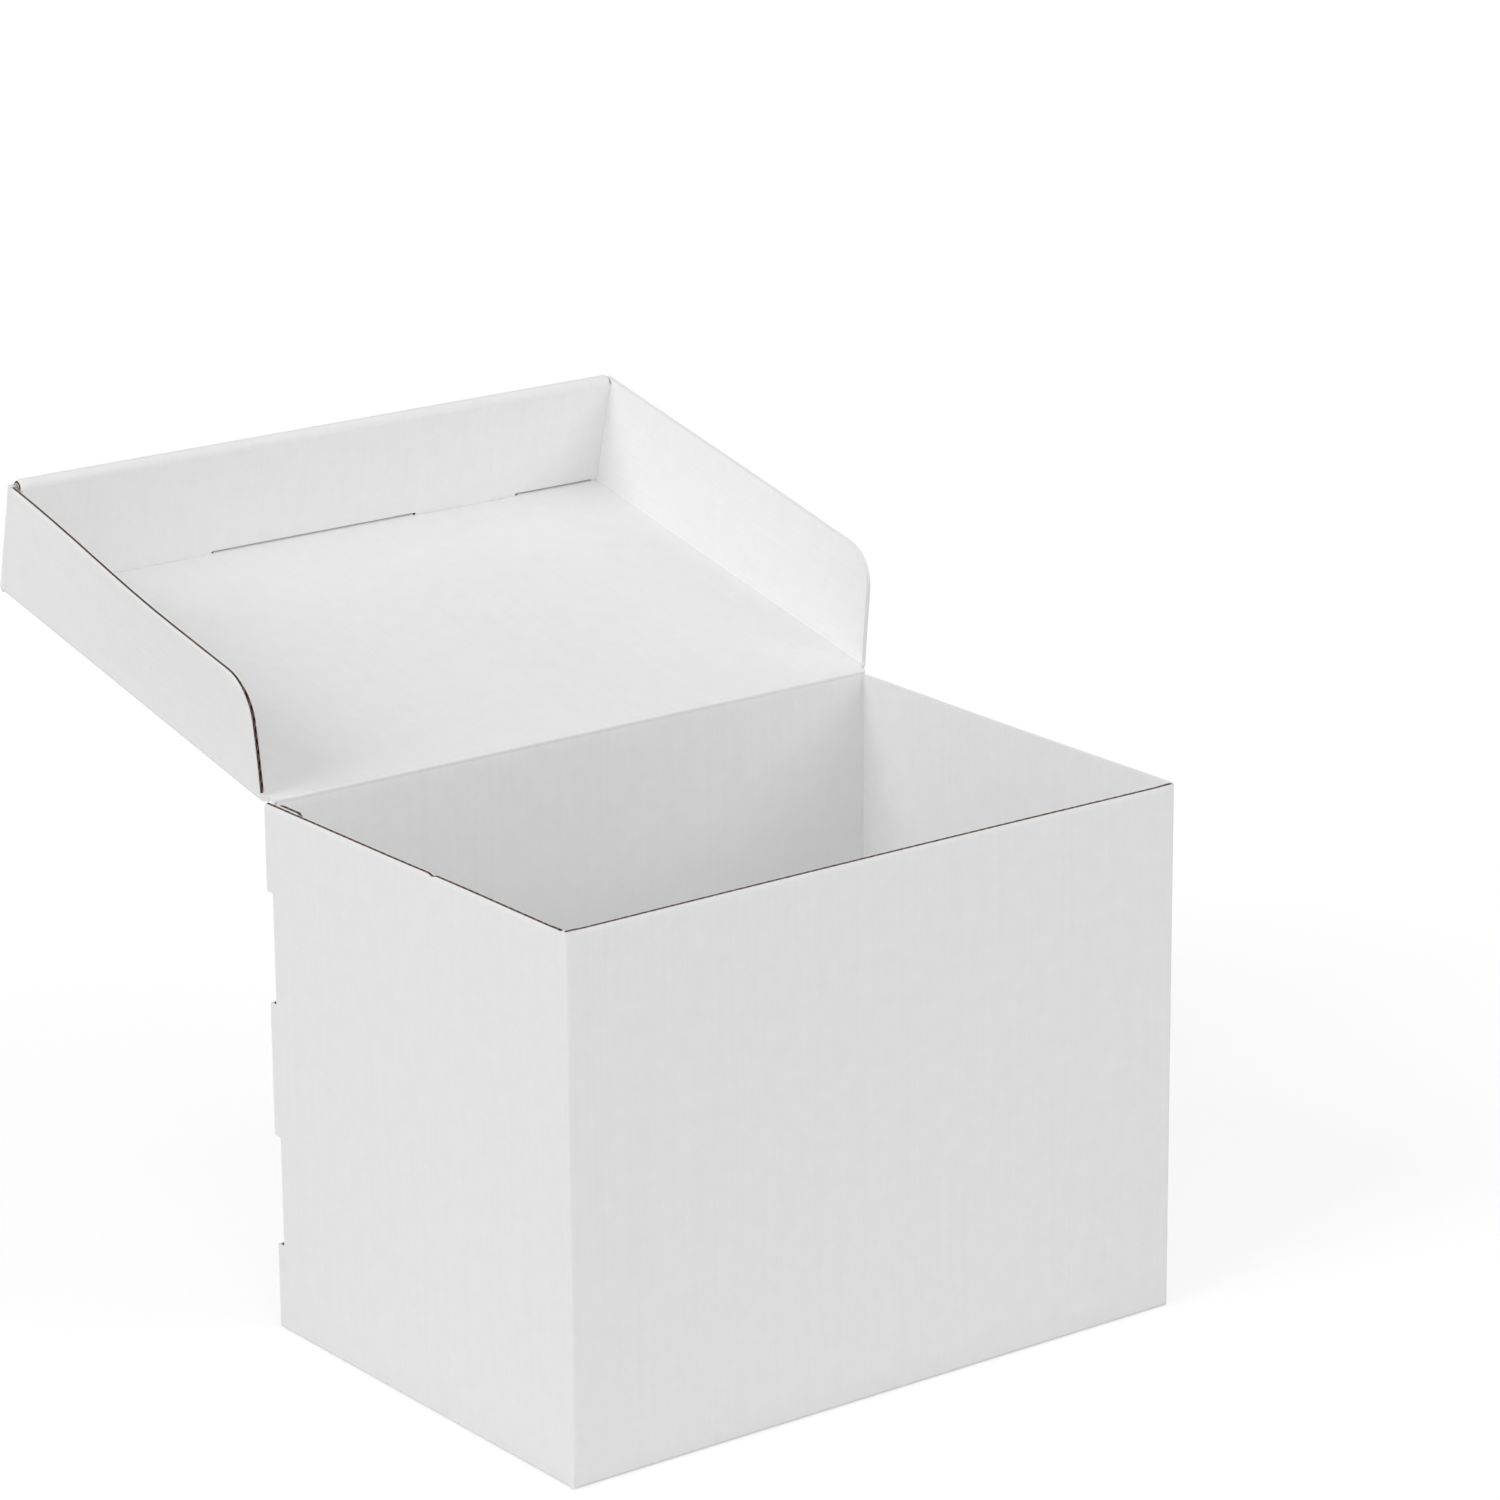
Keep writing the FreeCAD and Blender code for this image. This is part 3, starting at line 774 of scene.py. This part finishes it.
def rollHem(co):
    # the flat strip turns half round the pocket between the two front panels
    angle = (co.y + lidLow) / lid["hemRadius"]
    reach = lid["hemRadius"] + co.z
    return Vector((co.x, reach * math.sin(angle) - lidLow, reach * math.cos(angle) - lid["hemRadius"]))


boardPiece("lid_front_hem", "lid", "front", lid["frontMiddle"], "-Z", "-Y",
           rectangle(-flapX, flapX + lid["hemFill"], lidLow - math.pi * lid["hemRadius"], lidLow,
                     ("glued", "raw", "glued", "raw")),
           bow=0, wander=0, shape=rollHem, cellAlong=lid["hemCell"], seed=17)
print("lid ready")


# the header lies folded back on the tab tops
header = {
    "left": -66.8, "right": 62.2, "leg": 22.5, "legLow": -27.25, "legCorner": 4.0, "legTop": 4.7,
    "foldHigh": 4.0, "foldStart": -144.698, "plateStart": -143.0, "strip": -146.8, "stripGap": 0.2,
    "rear": -96.2, "corner": 9.6, "wander": 0.1,
}
leftLeg = (header["left"], header["left"] + header["leg"])
rightLeg = (header["right"] - header["leg"], header["right"])
for side, (low, high), seed in (("left", leftLeg, 18), ("right", rightLeg, 19)):
    boardPiece(f"header_{side}_leg", "lid", "front", lid["cardMiddle"], "Z", "-Y",
               [(low, header["legLow"], "raw", header["legCorner"]),
                (high, header["legLow"], "raw", header["legCorner"]),
                (high, header["legTop"], "full", 0), (low, header["legTop"], "raw", 0)],
               bow=0, wander=0, slot="header_board", seed=seed)
stripLeft, stripRight = leftLeg[1] + header["stripGap"], rightLeg[0] - header["stripGap"]
boardPiece("header_plate", "header", "flat", header["foldHigh"], "Y", "Z",
           [(leftLeg[0], header["foldStart"], "full", 0), (leftLeg[1], header["foldStart"], "raw", 0),
            (leftLeg[1], header["plateStart"], "raw", 0), (stripLeft, header["plateStart"], "raw", 0),
            (stripLeft, header["strip"], "raw", 0), (stripRight, header["strip"], "raw", 0),
            (stripRight, header["plateStart"], "raw", 0), (rightLeg[0], header["plateStart"], "raw", 0),
            (rightLeg[0], header["foldStart"], "full", 0), (rightLeg[1], header["foldStart"], "raw", 0),
            (rightLeg[1], header["rear"], "raw", header["corner"]),
            (leftLeg[0], header["rear"], "raw", header["corner"])],
           bow=0, wander=header["wander"], slot="header_board", seed=20)
print("header ready")


studio = {
    "sky": 0.46, "horizon": 0.16,  # a plain level: a colour renders about as it is written
    "horizonHigh": 0.6,
    "lampSoftness": 35,
    "lamps": {  # degrees round from the front and up, and strength
        "leftKey": (-90, 35, 0.31), "frontLeftFill": (-30, 35, 0.11), "frontRightFill": (30, 30, 0.17)},
    "floorReach": 4.0, "floorDrop": 0.0003,
    "floorForLight": 0.7, "floorSeen": 0.5, "floorGlow": 0.62,
}


def seenDirectly(make):
    rays = make("ShaderNodeLightPath").outputs
    seen = make("ShaderNodeMath", {0: rays["Is Camera Ray"], 1: rays["Is Glossy Ray"]},
                operation="MAXIMUM").outputs[0]
    return make("ShaderNodeMath", {0: seen, 1: rays["Is Transmission Ray"]}, operation="MAXIMUM").outputs[0]


def grey(level):
    return (level, level, level, 1.0)


def paleFloor():
    # it lights the part like a pale table, and is seen as white with the part's shadow
    reach, low = studio["floorReach"], -studio["floorDrop"]
    mesh = bpy.data.meshes.new("floor")
    corners = ((-reach, -reach, low), (reach, -reach, low), (reach, reach, low), (-reach, reach, low))
    mesh.from_pydata(corners, [], [(0, 1, 2, 3)])
    floor = bpy.data.objects.new("floor", mesh)
    bpy.context.scene.collection.objects.link(floor)
    material, make = startMaterial("paleFloor")
    seen = seenDirectly(make)
    matt = make("ShaderNodeBsdfDiffuse", {"Color": grey(studio["floorForLight"])}).outputs["BSDF"]
    shadowed = make("ShaderNodeBsdfDiffuse", {"Color": grey(studio["floorSeen"])}).outputs["BSDF"]
    glow = make("ShaderNodeEmission", {"Strength": studio["floorGlow"]}).outputs["Emission"]
    lifted = make("ShaderNodeAddShader", {0: shadowed, 1: glow}).outputs[0]
    both = make("ShaderNodeMixShader", {0: seen, 1: matt, 2: lifted}).outputs[0]
    make("ShaderNodeOutputMaterial", {"Surface": both})
    mesh.materials.append(material)


def studioWorld():
    world = bpy.data.worlds.new("studioWorld")
    bpy.context.scene.world = world
    world.use_nodes = True
    world.node_tree.nodes.clear()
    make = nodeMaker(world.node_tree)
    direction = make("ShaderNodeTexCoord").outputs["Generated"]
    height = make("ShaderNodeSeparateXYZ", {"Vector": direction}).outputs["Z"]
    level = make("ShaderNodeMapRange", {"Value": height, "From Min": 0.0, "From Max": studio["horizonHigh"],
                                        "To Min": studio["sky"] + studio["horizon"],
                                        "To Max": studio["sky"]}).outputs["Result"]
    strength = make("ShaderNodeMix", {0: seenDirectly(make), 2: level, 3: 1.0},
                    data_type="FLOAT").outputs[0]
    sky = make("ShaderNodeBackground", {"Color": grey(1.0), "Strength": strength}).outputs["Background"]
    make("ShaderNodeOutputWorld", {"Surface": sky})


def softLamps():
    for name, (azimuth, elevation, level) in studio["lamps"].items():
        turn, rise = math.radians(azimuth), math.radians(elevation)
        out = math.cos(rise)
        fromThere = Vector((math.sin(turn) * out, -math.cos(turn) * out, math.sin(rise)))
        light = bpy.data.lights.new(name, "SUN")
        light.angle = math.radians(studio["lampSoftness"])
        light.energy = math.pi * level
        lamp = bpy.data.objects.new(name, light)
        bpy.context.scene.collection.objects.link(lamp)
        lamp.location = fromThere * 2
        lamp.rotation_euler = fromThere.to_track_quat("Z", "Y").to_euler()


# the camera fitted to the box's corners in the photo, in millimetres, degrees and pixels
view = {
    "azimuth": 37.049, "elevation": 16.947, "roll": -0.421, "focalPixels": 5865.6, "frame": 1500,
    "right": 36.764, "up": -179.629, "distance": 1634.87, "frontY": -70.75,
}


def fittedCamera():
    turn, rise, roll = (math.radians(view[name]) for name in ("azimuth", "elevation", "roll"))
    ahead = Vector((math.sin(turn) * math.cos(rise), math.cos(turn) * math.cos(rise), -math.sin(rise)))
    level = Vector((math.cos(turn), -math.sin(turn), 0))
    above = level.cross(ahead)
    right = level * math.cos(roll) + above * math.sin(roll)
    up = above * math.cos(roll) - level * math.sin(roll)
    place = -view["right"] * right - view["up"] * up - view["distance"] * ahead
    place.y += view["frontY"]
    camera = bpy.data.cameras.new("photoCamera")
    camera.sensor_width = 36
    camera.lens = view["focalPixels"] * camera.sensor_width / view["frame"]
    camera.clip_start = 0.05
    camera.clip_end = 30
    seat = bpy.data.objects.new("photoCamera", camera)
    bpy.context.scene.collection.objects.link(seat)
    seat.matrix_world = Matrix.Translation(place * mm) @ Matrix((right, up, -ahead)).transposed().to_4x4()
    bpy.context.scene.camera = seat


paleFloor()
studioWorld()
softLamps()
fittedCamera()
bpy.context.scene.view_settings.view_transform = "Standard"
print("stage, light and camera ready")
